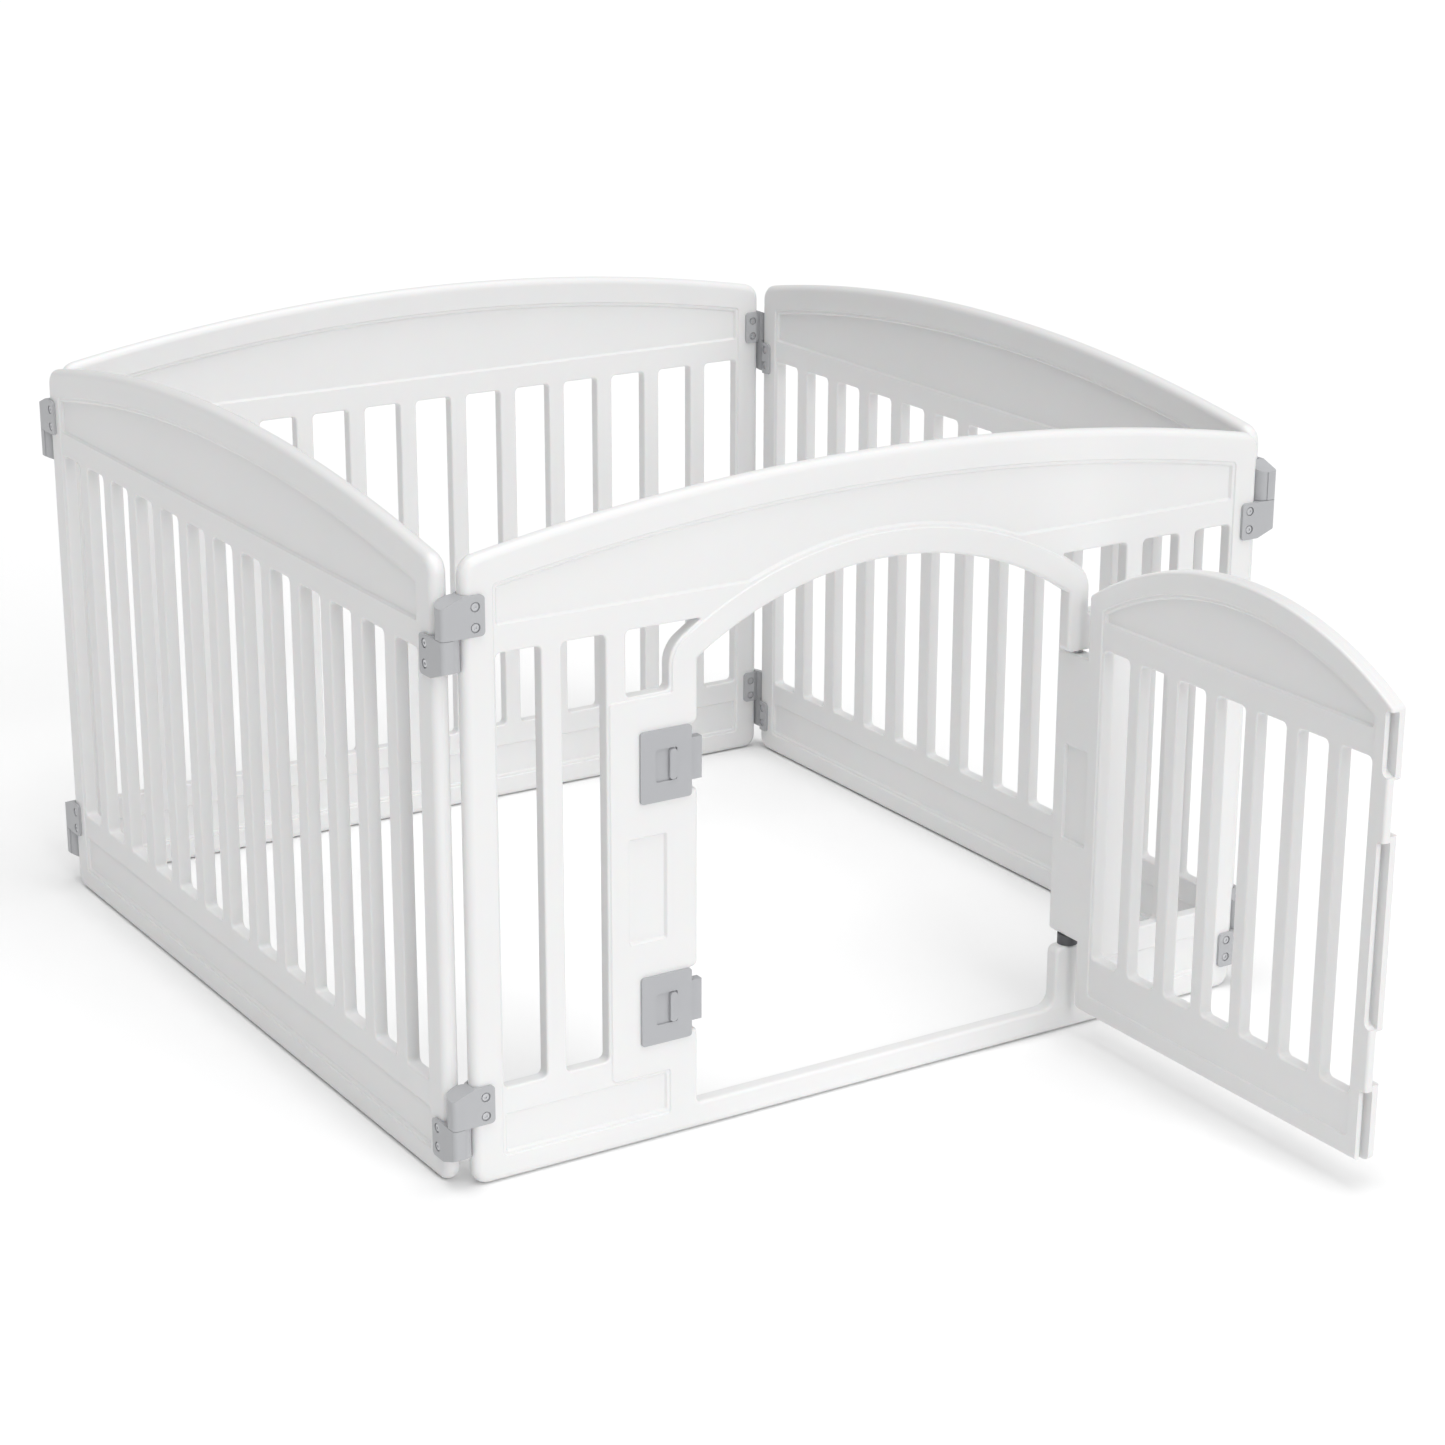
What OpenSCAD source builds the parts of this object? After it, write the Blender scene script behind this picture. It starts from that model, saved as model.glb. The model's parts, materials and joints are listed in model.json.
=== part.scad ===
// Four-panel folding pet playpen with an arched swing door, millimetres.
// Frame: +Z up, origin under the middle of the front panel, +X right along it, +Y into the pen.
// Every wall panel is drawn in the front panel's frame: X along it seen from outside, -Y outwards.

/* [Pen] */
// Width of the pen over the outer faces of two facing panels
pen_w = 900; // [700:5:1300]
// Height of the pen at the crown of the arched top rail
pen_h = 611; // [560:1:760]
// Thickness of a wall panel and of the door
panel_t = 16.6; // [14:0.1:24]
// Radius of the arched top rail
arch_r = 2265; // [1500:5:4000]
// Width of the plain rim round a wall panel's slatted field
rim_w = 31; // [24:1:45]
// Radius of the panel's top corners
top_corner_r = 18; // [8:1:24]
// Radius of the panel's bottom corners
foot_corner_r = 15; // [4:1:20]
// Rounding of the panel's upright edges, seen from above
end_round = 6; // [3:0.5:6.5]

/* [Slats] */
// Number of upright slots in a full wall panel
slot_n = 13; // [9:2:17]
// Width of the bar between two slots
bar_w = 19.8; // [12:0.2:26]
// Height of the slots' lower ends above the floor
slot_z0 = 88; // [70:1:120]
// Height of the slots' upper ends above the floor
slot_z1 = 485; // [440:1:490]
// Corner radius of a slot
slot_r = 5; // [2:0.5:7]
// Height of the straight lower edge of the arched recess
recess_z0 = 509; // [500:1:515]
// Depth of the slatted field below the rim
field_step = 1.4; // [0.6:0.1:2]
// Depth of the arched recess below the rim
recess_step = 4.2; // [2.4:0.1:5]
// Depth of the kick recess below the rim
kick_step = 3.4; // [2.2:0.1:4.5]
// Lower and upper edge of the kick recess
kick_z0 = 26; // [18:1:34]
kick_z1 = 64; // [50:1:68]

/* [Doorway] */
// Half width of the door opening at the lock jamb
open_half = 202; // [180:1:208]
// Height of the sill under the door opening
sill_h = 26; // [18:1:30]
// Height of the door opening's crown
open_top = 510.5; // [490:0.5:520]
// Radius of the door opening's arch
open_r = 365; // [300:5:480]
// Width of the raised band over the door opening
band_w = 27; // [15:1:32]
// Height of the raised stile beside the opening, where the short slots end
stile_top = 421.5; // [400:0.5:430]
// Depth of the jamb's set-back at each lock
lock_setback = 8; // [4:0.5:10]

/* [Door] */
// Angle between the door and its closed place, as stored
door_open_angle = 90; // [60:1:120]
// Distance of the door's hinge axis from the centre of the front panel
hinge_x = 226; // [222:0.5:230]
// Gap between the door and the crown of the opening
door_gap = 3; // [2:0.5:4]
// Gap between the door's free edge and the lock jamb
latch_gap = 1; // [0.8:0.1:3]
// Number of upright slots in the door
door_slot_n = 7; // [5:1:9]
// Width of the bar between two door slots
door_bar_w = 15.8; // [10:0.2:20]
// Upper end of the door's slots
door_slot_z1 = 398; // [380:1:400]
// Lower edge of the door's arched recess
door_recess_z0 = 423.5; // [418:0.5:430]
// Lower edge of the door's slatted field
door_field_z0 = 51; // [44:1:60]
// Width of the door's rim above its recess
door_rim_w = 24; // [18:1:28]
// Lower and upper end of the door's hinge knuckle
knuckle_z0 = 98.4; // [96:0.1:110]
knuckle_z1 = 384; // [360:1:386]
// Reach of the knuckle past the hinge axis
knuckle_back = 20; // [16:0.5:20]
// Radius of the door's two pivot pins
pivot_r = 4; // [3:0.1:4.5]
// Depth of the step that lets a lock bolt lie over the door's edge
lip_reach = 18.5; // [15:0.5:18.5]

/* [Corner hinges] */
// Distance from a corner's hinge axis to the end of each panel
end_gap = 10.7; // [10.4:0.1:14]
// Thickness of a hinge plate
plate_t = 2.9; // [2:0.1:3.5]
// Reach of a hinge plate from the axis
plate_reach = 30; // [26:0.5:30.5]
// Height of one hinge leaf
leaf_h = 36; // [32:0.5:38]
// Radius of a hinge pin
pin_r = 3; // [2:0.1:4]
// Height of the split between upper and lower leaf, bottom hinge and top hinge
split_low = 60; // [58:0.5:62]
split_high = 504; // [490:0.5:506]
// Radius of a hinge screw's shank
screw_r = 2; // [1.5:0.1:2.4]
// Radius of a hinge screw's head
screw_head_r = 3.3; // [3:0.1:3.6]

/* [Locks] */
// Width and height of a lock plate
lock_w = 52; // [52:1:58]
lock_h = 66; // [54:1:74]
// Height of the lower and the upper lock's centre above the floor
lock_low = 128.5; // [110:0.5:150]
lock_high = 358.5; // [335:0.5:365]
// Height of a lock bolt
bolt_h = 39; // [30:1:46]
// How far a lock bolt stands out of the set-back jamb, as stored
bolt_out = 12; // [10:0.5:12]
// Travel of a lock bolt back from its stored place
bolt_back = 12.5; // [12.2:0.1:13]

/* [Fits] */
// Radial running clearance of a pin in its bore
run_fit = 0.05; // [0.02:0.01:0.1]
// Clearance between pieces that slide or turn past each other
slide_fit = 0.4; // [0.3:0.05:0.8]
// Clearance between a hinge leaf and the panel end it wraps
seat_fit = 0.1; // [0.05:0.05:0.3]

/* [Hidden] */
$fn = 48;

// ---- panels ----
half_t = panel_t / 2;
axis_off = pen_w / 2 - half_t;             // corner hinge axes, from the middle of the pen
panel_half = axis_off - end_gap;           // half length of a wall panel
field_half = panel_half - rim_w;           // half width of the slatted field
slot_w = (2 * field_half - (slot_n - 1) * bar_w) / slot_n;
slot_pitch = slot_w + bar_w;
recess_top = pen_h - rim_w;
recess_corner_r = 2;
cut = 1;                                   // how far a cutter runs past the face it opens

// ---- doorway ----
band_r = open_r + band_w;
open_cz = open_top - open_r;               // height of the arch's centre
side_n = floor((field_half - open_half - 85 + bar_w) / slot_pitch);  // whole slots beside the stile
stile_half = field_half - side_n * slot_pitch + bar_w;
stile_in = field_half - side_n * slot_pitch - slot_w;  // inner edge of the short slot
stub_x0 = hinge_x - knuckle_back + cut;    // door side of the two hinge stubs
knuckle_gap_x = hinge_x + knuckle_back + 3;
stub_r = 7;                                // rounding of the stubs' corners
post_r = 30;                               // rounding where the band turns down into a stile
spacer_h = 10;
spacer_r = 10;
pivot_in = 28;                             // reach of a pivot pin into stub and knuckle
stub_low_z = knuckle_z0 - slide_fit - spacer_h;
stub_high_z = knuckle_z1 + 3;
setback_z0 = -28;                         // the jamb's set-back, from the lock's centre
setback_z1 = 32;
stile_recess = [40, 101];                  // plain recess between the two locks
stile_recess_z = (lock_low + lock_high) / 2 + 1;

// ---- door, drawn closed: its X runs from the hinge axis towards the lock jamb ----
door_end = hinge_x + open_half - latch_gap; // tip of the door's ridges
door_mid = hinge_x;                        // the door's arch is centred on the front panel
door_top = open_top - door_gap;
door_z0 = sill_h + door_gap + 1;
door_r = open_r - door_gap;
door_x0 = knuckle_back + 4;                // hinge edge of the door above and below its knuckle
door_field_x0 = door_x0 + 22;
door_field_x1 = 2 * door_mid - door_field_x0 - 1;
door_slot_w = (door_field_x1 - door_field_x0 - (door_slot_n - 1) * door_bar_w) / door_slot_n;
door_slot_pitch = door_slot_w + door_bar_w;
door_slot_z0 = slot_z0;
groove_d = 3;                              // groove along the door's free edge
groove_w = 3.6;
ridge_corner = 2.2;
lip_y = 0.8;                               // outer side of the lip that a bolt lies over
notch_reach = [-26.5, 22];                 // the bolt's notch, from the lock's centre
edge_reach = [-31.5, 27];                  // where the inner half runs on to the edge's tip
edge_back = 7.5;                           // the inner half stands back this far elsewhere

// ---- corner hinges ----
block_half = half_t + plate_t;             // outer corner of a leaf
knuckle_r = end_gap - 0.5;                 // round inner side of a leaf's barrel
inner_ray = 34.5;                          // bevel of a leaf's inner side, from its own panel
leaf_corner_r = 4;
leaf_gap = 0.4;                            // between the upper and the lower leaf
slant = 21;                                // slope of a barrel's end, down to its outer side
slant_x = 10;                              // where that slope begins, from the axis
pin_half = leaf_h - 12;
screw_x = 21;
screw_zs = [8, 26];
seat_depth = 1.8;                          // counterbore for a screw's head
seat_ring = 1.2;                           // open ring round a screw's head
head_h = 1.1;
LEVELS = [split_low, split_high];

// ---- locks ----
lock_x1 = -(open_half + lock_setback);     // lock plate's edge at the jamb
lock_plate_t = 2.7;
bolt_t = 8.3;
bolt_in = 37.4;                            // length of a bolt behind the jamb, past its land
bolt_face = half_t - 0.2;                  // bolt's outer face, from the panel's middle
channel_h = bolt_h + 2 * slide_fit;
thumb = [7.2, 28];                         // thumb slider, width and height
thumb_x = -(open_half + 27.7);
thumb_out = 1.8;                           // the slider stands this far out of the plate
track_gap = 1;                             // the plate's window, round the slider
track_d = 1.3;                             // depth of the bolt's land in that window
land_edge = 0.4;                           // the land reaches this far under the plate

// Points of an arc about (cx, cz)
function arc_points(cx, cz, r, a0, a1, n) =
  [for (i = [0:n]) [cx + r * cos(a0 + (a1 - a0) * i / n), cz + r * sin(a0 + (a1 - a0) * i / n)]];

// Rectangle with rounded corners
function round_box(x0, z0, x1, z1, r, n = 4) = concat(
  arc_points(x0 + r, z0 + r, r, 180, 270, n), arc_points(x1 - r, z0 + r, r, 270, 360, n),
  arc_points(x1 - r, z1 - r, r, 0, 90, n), arc_points(x0 + r, z1 - r, r, 90, 180, n));

// Height of the centre of a corner arc that touches the arched top from inside
function corner_z(dx, top, big_r, r) = top - big_r + sqrt(pow(big_r - r, 2) - pow(dx, 2));

// Piece that rounds off a corner at p, whose sides run off in the directions u and v
function corner_piece(p, u, v, r, n = 6) =
  let (h = acos(u * v) / 2, c = p + (u + v) / norm(u + v) * r / sin(h),
       a = p + u * r / tan(h) - c, b = p + v * r / tan(h) - c,
       a0 = atan2(a[1], a[0]), t = atan2(b[1], b[0]) - a0,
       s = t > 180 ? t - 360 : t < -180 ? t + 360 : t)
  concat([p], arc_points(c[0], c[1], r, a0, a0 + s, n));

// Upright shape between x0 and x1 with an arched top centred on xc and rounded corners
function arch_box(x0, x1, z0, top, big_r, r_top, r_low, xc = 0, n = 20) =
  let (dl = xc - x0 - r_top, dr = x1 - r_top - xc, cz = top - big_r,
       zl = corner_z(dl, top, big_r, r_top), zr = corner_z(dr, top, big_r, r_top),
       al = atan2(zl - cz, dl), ar = atan2(zr - cz, dr))
  concat(
    arc_points(x0 + r_low, z0 + r_low, r_low, 180, 270, 6),
    arc_points(x1 - r_low, z0 + r_low, r_low, 270, 360, 6),
    arc_points(x1 - r_top, zr, r_top, 0, ar, 6),
    arc_points(xc, cz, big_r, ar, 180 - al, n),
    arc_points(x0 + r_top, zl, r_top, 180 - al, 180, 6));

// Slab of a flat outline, standing in the XZ plane from y0 to y1
module slab(y0, y1) {
  translate([0, y1, 0]) rotate([90, 0, 0]) linear_extrude(height = y1 - y0) children();
}

// The same shallow cut on both faces, from the given depth below the rim outwards
module both_faces(depth) {
  slab(-half_t - cut, -half_t + depth) children();
  slab(half_t - depth, half_t + cut) children();
}

// Blank of a wall panel: arched outline with rounded upright edges
module panel_blank() {
  intersection() {
    slab(-half_t, half_t)
      polygon(arch_box(-panel_half, panel_half, 0, pen_h, arch_r, top_corner_r, foot_corner_r));
    linear_extrude(height = pen_h)
      polygon(round_box(-panel_half, -half_t, panel_half, half_t, end_round));
  }
}

// Outline of the slatted field and of the arched recess above it
module field_2d() {
  polygon(round_box(-field_half, kick_z1, field_half, recess_z0 + cut, recess_corner_r));
}
module recess_2d() {
  polygon(arch_box(-field_half, field_half, recess_z0, recess_top, arch_r - rim_w,
                   recess_corner_r, recess_corner_r));
}
module kick_2d(x0, x1) {
  polygon(round_box(x0, kick_z0, x1, kick_z1, recess_corner_r));
}
module slot_2d(i, z0) {
  x0 = -field_half + i * slot_pitch;
  polygon(round_box(x0, z0, x0 + slot_w, slot_z1, slot_r));
}

// Screw holes of the four hinge leaves
module leaf_holes(r) {
  for (z = LEVELS, dz = screw_zs, side = [-1, 1])
    translate([side * (axis_off - screw_x), 0, z - side * dz]) rotate([90, 0, 0])
      cylinder(r = r, h = panel_t + 2 * cut, center = true);
}

module wall_panel() {
  color("#f4f4f3") difference() {
    panel_blank();
    both_faces(field_step) field_2d();
    both_faces(recess_step) recess_2d();
    both_faces(kick_step) kick_2d(-field_half, field_half);
    slab(-half_t - cut, half_t + cut) for (i = [0:slot_n - 1]) slot_2d(i, slot_z0);
    leaf_holes(screw_r + run_fit);
  }
}

// Rounded corners of the short slots, where the band meets the stiles
module post_corner_2d() {
  z = sqrt(pow(band_r, 2) - pow(stile_in, 2));
  for (side = [-1, 1])
    polygon(corner_piece([side * stile_in, open_cz + z], [0, -1],
                         [-side * z, stile_in] / band_r, post_r));
}
// Raised band over the doorway and the two stiles beside it
module raised_2d() {
  difference() {
    intersection() {
      translate([0, open_cz]) circle(r = band_r, $fn = 180);
      translate([-stile_in, 0]) square([2 * stile_in, pen_h]);
    }
    post_corner_2d();
  }
  translate([-stile_half, 0]) square([2 * stile_half, stile_top]);
}
module doorway_2d() {
  a_left = 180 - acos(open_half / open_r);
  a_right = acos(stub_x0 / open_r);
  polygon(concat(
    arc_points(-open_half + slot_r, sill_h + slot_r, slot_r, 180, 270, 4),
    arc_points(stub_x0 - 2 * stub_r, sill_h + 2 * stub_r, 2 * stub_r, 270, 360, 6),
    arc_points(0, open_cz, open_r, a_right, a_left, 20)));
  polygon(round_box(stub_x0 - 2 * slot_r, stub_low_z, knuckle_gap_x, stub_high_z, 2));
  polygon(corner_piece([stub_x0, stub_low_z], [1, 0], [0, -1], stub_r));
  polygon(corner_piece([stub_x0, stub_high_z], [1, 0], [0, 1], stub_r));
}
// Short slot over the stile; it flares inwards along the arched band
module short_slot_2d(side) {
  x0 = side < 0 ? -stile_in - slot_w : stile_in;
  polygon(round_box(x0, stile_top + 3.5, x0 + slot_w, slot_z1, slot_r));
  difference() {
    polygon(round_box(side < 0 ? x0 : open_half - slot_r, stile_top + 3.5,
                      side < 0 ? slot_r - open_half : x0 + slot_w, slot_z1, slot_r));
    translate([0, open_cz]) circle(r = band_r, $fn = 180);
  }
}

module front_panel() {
  recess_x = open_half + 31.5;
  color("#f4f4f3") difference() {
    panel_blank();
    both_faces(field_step) difference() { field_2d(); raised_2d(); }
    both_faces(recess_step) difference() { recess_2d(); raised_2d(); }
    both_faces(kick_step) for (side = [0, 1]) mirror([side, 0, 0]) {
      kick_2d(-field_half, -recess_x);
      if (side == 0) polygon(round_box(-recess_x - stile_recess[0], stile_recess_z - stile_recess[1] / 2,
                                       -recess_x, stile_recess_z + stile_recess[1] / 2, recess_corner_r));
    }
    slab(-half_t - cut, half_t + cut) {
      for (i = [0:side_n - 1]) {
        slot_2d(i, slot_z0);
        slot_2d(slot_n - 1 - i, slot_z0);
      }
      short_slot_2d(-1);
      short_slot_2d(1);
      post_corner_2d();
      doorway_2d();
      for (z = [lock_low, lock_high])
        polygon(round_box(lock_x1, z + setback_z0, 0, z + setback_z1, 2));
    }
    for (z = [lock_low, lock_high])
      translate([lock_x1 - bolt_in - bolt_back - slide_fit, -half_t - cut, z - channel_h / 2])
        cube([bolt_in + bolt_back + slide_fit + cut, cut + half_t - (bolt_face - bolt_t) + slide_fit,
              channel_h]);
    for (z = [stub_low_z - pivot_in, stub_high_z - cut]) translate([hinge_x, 0, z])
      cylinder(r = pivot_r, h = pivot_in + cut);
    leaf_holes(screw_r + run_fit);
  }
}

// ---- door: X from the hinge axis to the free edge, +Y outwards when closed ----
module door_plan() {
  polygon(round_box(-knuckle_back, -half_t, door_end, half_t, ridge_corner));
}
// Stretch of the free edge, from one height to another, square above and rounded below
module edge_2d(x, z0, z1) {
  polygon(round_box(x, z0, door_end + 20, z1, 6.5));
  polygon(round_box(x, (z0 + z1) / 2, door_end + 20, z1, 1));
}
// The inner half's set-back between the locks, with a groove beside the outer half
module edge_steps() {
  ends = [-30, lock_low + edge_reach[0], lock_low + edge_reach[1], lock_high + edge_reach[0],
          lock_high + edge_reach[1], door_top - 64];
  for (i = [0, 2, 4]) {
    slab(-half_t - cut, 0) edge_2d(door_end - edge_back, ends[i], ends[i + 1]);
    slab(-groove_w, 0) edge_2d(door_end - edge_back - groove_d, ends[i] + 1.5, ends[i + 1] - 1.5);
  }
}
module door_panel() {
  color("#f4f4f3") at_door() difference() {
    intersection() {
      slab(-half_t, half_t) {
        polygon(arch_box(door_x0, door_end, door_z0, door_top, door_r, 3, 6, door_mid));
        translate([-knuckle_back, knuckle_z0])
          square([knuckle_back + door_field_x0, knuckle_z1 - knuckle_z0]);
      }
      linear_extrude(height = pen_h) door_plan();
    }
    both_faces(field_step) polygon(round_box(door_field_x0, door_field_z0, door_field_x1,
                                             door_recess_z0 + cut, recess_corner_r));
    both_faces(recess_step) {
      polygon(arch_box(door_field_x0, door_field_x1, door_recess_z0, door_top - door_rim_w,
                       door_r - 6, recess_corner_r, recess_corner_r, door_mid));
      polygon(round_box(-7, stile_recess_z - stile_recess[1] / 2, 31,
                        stile_recess_z + stile_recess[1] / 2, recess_corner_r));
    }
    slab(-half_t - cut, half_t + cut) for (i = [0:door_slot_n - 1])
      polygon(round_box(door_field_x0 + i * door_slot_pitch, door_slot_z0,
                        door_field_x0 + i * door_slot_pitch + door_slot_w, door_slot_z1, slot_r));
    edge_steps();
    for (z = [lock_low, lock_high])
      translate([door_end - lip_reach, -lip_y, z + notch_reach[0]])
        cube([lip_reach + cut, half_t + lip_y + cut, notch_reach[1] - notch_reach[0]]);
    for (z = [knuckle_z0 - cut, knuckle_z1 - pivot_in]) translate([0, 0, z])
      cylinder(r = pivot_r + run_fit, h = pivot_in + cut);
  }
}

// ---- corner hinges: axis on Z, own panel towards +X, outer side -Y ----
module leaf_plan() {
  ray_x = block_half / tan(inner_ray);
  difference() {
    union() {
      circle(r = knuckle_r);
      polygon(concat(
        [[0, 0], [-block_half, 0]],
        arc_points(-block_half + leaf_corner_r, -block_half + leaf_corner_r, leaf_corner_r, 180, 270, 6),
        [[plate_reach, -block_half], [plate_reach, block_half], [ray_x, block_half]]));
    }
    polygon(round_box(end_gap - seat_fit, -half_t - seat_fit, plate_reach + 20,
                      half_t + seat_fit, end_round));
  }
}

// Outline of a leaf's plates from the side, with rounded far corners
module leaf_side() {
  polygon(concat([[-block_half - cut, leaf_gap / 2]],
    arc_points(plate_reach - 4, leaf_gap / 2 + 4, 4, 270, 360, 6),
    arc_points(plate_reach - 4, leaf_h - 4, 4, 0, 90, 6),
    [[-block_half - cut, leaf_h]]));
}

// One leaf above the split; a lower leaf is this one turned over
module leaf(bore_r) {
  color("#b4b5b8") difference() {
    intersection() {
      linear_extrude(height = leaf_h) leaf_plan();
      slab(-block_half - cut, block_half + cut) leaf_side();
    }
    translate([slant_x, 0, leaf_h]) rotate([0, -slant, 0])
      translate([-80, -80, 0]) cube([160, 160, 40]);
    translate([0, 0, -cut]) cylinder(r = bore_r, h = pin_half + 0.5 + cut);
    for (z = screw_zs, side = [-1, 1]) translate([screw_x, side * block_half, z])
      rotate([side * 90, 0, 0]) translate([0, 0, -cut]) {
        cylinder(r = screw_head_r + seat_ring, h = seat_depth + cut);
        cylinder(r = screw_r + run_fit, h = 2 * plate_t + cut);
      }
  }
}
// Upper leaf at a panel's left end, lower leaf at its right end, seen from outside
module upper_leaf(z) {
  translate([-axis_off, 0, z]) leaf(pin_r + run_fit);
}
module lower_leaf(z) {
  translate([axis_off, 0, z]) rotate([0, 180, 0]) leaf(pin_r);
}
module hinge_pin(z) {
  color("#9a9ca0") translate([axis_off, 0, z - pin_half]) cylinder(r = pin_r, h = 2 * pin_half);
}

// A screw goes in from the outer face, a round nut takes its end at the inner face
module hinge_screws() {
  color("#c9cacd") for (z = LEVELS, dz = screw_zs, side = [-1, 1])
    translate([side * (axis_off - screw_x), -block_half + seat_depth, z - side * dz])
      rotate([-90, 0, 0]) {
        difference() {
          translate([0, 0, -head_h]) cylinder(r = screw_head_r, h = head_h);
          translate([0, 0, -head_h - cut]) cylinder(r = screw_head_r - 1.8, h = cut + 0.6);
        }
        cylinder(r = screw_r, h = 2 * (block_half - seat_depth) + 0.6);
      }
}
module hinge_nuts() {
  color("#c9cacd") for (z = LEVELS, dz = screw_zs, side = [-1, 1])
    translate([side * (axis_off - screw_x), block_half - seat_depth, z - side * dz])
      rotate([-90, 0, 0]) difference() {
        cylinder(r = screw_head_r, h = head_h);
        translate([0, 0, -cut]) cylinder(r = screw_r, h = head_h + 2 * cut);
      }
}

// ---- locks ----
// Shape of a slider at its stored place, drawn out by gap, and by back towards the other stile
module reach_2d(z, gap, back, r = 1.5) {
  polygon(round_box(thumb_x - thumb[0] / 2 - gap - back, z - thumb[1] / 2 - gap,
                    thumb_x + thumb[0] / 2 + gap, z + thumb[1] / 2 + gap, r));
}
module lock_plate(z) {
  color("#b4b5b8") difference() {
    slab(-half_t - lock_plate_t, -half_t)
      polygon(round_box(lock_x1 - lock_w, z - lock_h / 2, lock_x1, z + lock_h / 2, 3));
    slab(-half_t - lock_plate_t - cut, -half_t + cut) reach_2d(z, track_gap, bolt_back);
    slab(-half_t - lock_plate_t + track_d, -half_t + cut)
      reach_2d(z, track_gap + land_edge + slide_fit, 2 * bolt_back);
  }
}
module lock_bolt(z) {
  color("#b4b5b8") {
    translate([lock_x1 - bolt_in, -bolt_face, z - bolt_h / 2])
      cube([bolt_in + bolt_out, bolt_t, bolt_h]);
    slab(-half_t - lock_plate_t + track_d + slide_fit, -bolt_face + cut)
      reach_2d(z, track_gap + land_edge, bolt_back);
    slab(-half_t - lock_plate_t - thumb_out, -bolt_face + cut) reach_2d(z, 0, 0, 3);
  }
}

// ---- places ----
module wall(i) {
  translate([0, axis_off, 0]) rotate([0, 0, 90 * i]) translate([0, -axis_off, 0]) children();
}
module at_door() {
  translate([hinge_x, 0, 0]) rotate([0, 0, 180 + door_open_angle]) children();
}

// ---- nodes ----
module left_panel() wall(3) wall_panel();
module back_panel() wall(2) wall_panel();
module right_panel() wall(1) wall_panel();
module front_left_top_upper_leaf() wall(0) upper_leaf(split_high);
module front_left_top_lower_leaf() wall(3) lower_leaf(split_high);
module front_left_top_pin() wall(3) hinge_pin(split_high);
module front_left_bottom_upper_leaf() wall(0) upper_leaf(split_low);
module front_left_bottom_lower_leaf() wall(3) lower_leaf(split_low);
module front_left_bottom_pin() wall(3) hinge_pin(split_low);
module front_right_top_upper_leaf() wall(1) upper_leaf(split_high);
module front_right_top_lower_leaf() wall(0) lower_leaf(split_high);
module front_right_top_pin() wall(0) hinge_pin(split_high);
module front_right_bottom_upper_leaf() wall(1) upper_leaf(split_low);
module front_right_bottom_lower_leaf() wall(0) lower_leaf(split_low);
module front_right_bottom_pin() wall(0) hinge_pin(split_low);
module back_right_top_upper_leaf() wall(2) upper_leaf(split_high);
module back_right_top_lower_leaf() wall(1) lower_leaf(split_high);
module back_right_top_pin() wall(1) hinge_pin(split_high);
module back_right_bottom_upper_leaf() wall(2) upper_leaf(split_low);
module back_right_bottom_lower_leaf() wall(1) lower_leaf(split_low);
module back_right_bottom_pin() wall(1) hinge_pin(split_low);
module back_left_top_upper_leaf() wall(3) upper_leaf(split_high);
module back_left_top_lower_leaf() wall(2) lower_leaf(split_high);
module back_left_top_pin() wall(2) hinge_pin(split_high);
module back_left_bottom_upper_leaf() wall(3) upper_leaf(split_low);
module back_left_bottom_lower_leaf() wall(2) lower_leaf(split_low);
module back_left_bottom_pin() wall(2) hinge_pin(split_low);
module front_hinge_screws() wall(0) hinge_screws();
module right_hinge_screws() wall(1) hinge_screws();
module back_hinge_screws() wall(2) hinge_screws();
module left_hinge_screws() wall(3) hinge_screws();
module front_hinge_nuts() wall(0) hinge_nuts();
module right_hinge_nuts() wall(1) hinge_nuts();
module back_hinge_nuts() wall(2) hinge_nuts();
module left_hinge_nuts() wall(3) hinge_nuts();
module door_upper_pivot_pin() color("#9a9ca0") translate([hinge_x, 0, stub_high_z - pivot_in + 1])
  cylinder(r = pivot_r, h = 2 * pivot_in - 1);
module door_lower_pivot_pin() color("#9a9ca0") translate([hinge_x, 0, stub_low_z - pivot_in])
  cylinder(r = pivot_r, h = 2 * pivot_in + spacer_h - 1);
module door_lower_spacer() color("#5a5b5e") translate([hinge_x, 0, stub_low_z]) difference() {
  cylinder(r = spacer_r, h = spacer_h);
  translate([0, 0, -cut]) cylinder(r = pivot_r, h = spacer_h + 2 * cut);
}
module upper_lock_plate() lock_plate(lock_high);
module lower_lock_plate() lock_plate(lock_low);
module upper_lock_bolt() lock_bolt(lock_high);
module lower_lock_bolt() lock_bolt(lock_low);

front_panel();
left_panel();
back_panel();
right_panel();
door_panel();
front_left_top_upper_leaf();
front_left_top_lower_leaf();
front_left_top_pin();
front_left_bottom_upper_leaf();
front_left_bottom_lower_leaf();
front_left_bottom_pin();
front_right_top_upper_leaf();
front_right_top_lower_leaf();
front_right_top_pin();
front_right_bottom_upper_leaf();
front_right_bottom_lower_leaf();
front_right_bottom_pin();
back_right_top_upper_leaf();
back_right_top_lower_leaf();
back_right_top_pin();
back_right_bottom_upper_leaf();
back_right_bottom_lower_leaf();
back_right_bottom_pin();
back_left_top_upper_leaf();
back_left_top_lower_leaf();
back_left_top_pin();
back_left_bottom_upper_leaf();
back_left_bottom_lower_leaf();
back_left_bottom_pin();
front_hinge_screws();
left_hinge_screws();
back_hinge_screws();
right_hinge_screws();
front_hinge_nuts();
left_hinge_nuts();
back_hinge_nuts();
right_hinge_nuts();
door_upper_pivot_pin();
door_lower_pivot_pin();
door_lower_spacer();
upper_lock_plate();
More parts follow.
